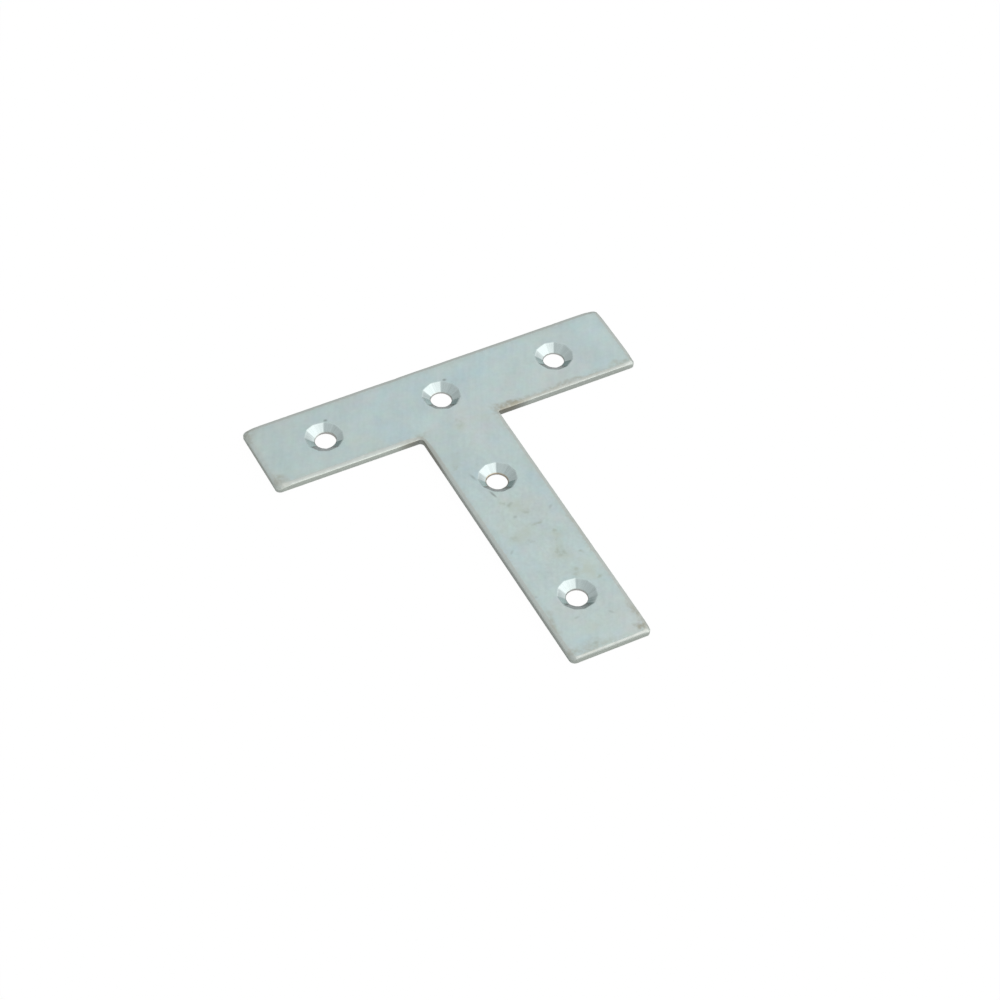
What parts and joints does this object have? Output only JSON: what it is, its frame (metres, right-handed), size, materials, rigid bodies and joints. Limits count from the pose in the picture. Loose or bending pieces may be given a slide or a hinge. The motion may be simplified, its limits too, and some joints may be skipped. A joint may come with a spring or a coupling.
{
  "type": "flat tee joining plate",
  "caption": "Flat T-shaped joining plate punched from zinc plated steel strip, with countersunk screw holes along its bar and stem, for holding a tee joint flush.",
  "frame": {"origin": "on the axis of the centre hole at the flat back face, where the centrelines of the bar and the stem cross", "axes": "+X along the bar, -Y down the stem, +Z out of the flat back face towards the countersinks"},
  "size_m": [0.075, 0.075, 0.0015],
  "materials": {
    "zinc_plated_steel": "bright zinc plate, satin"
  },
  "bodies": {
    "root": {"tee_plate": "zinc_plated_steel"}
  },
  "joints": []
}
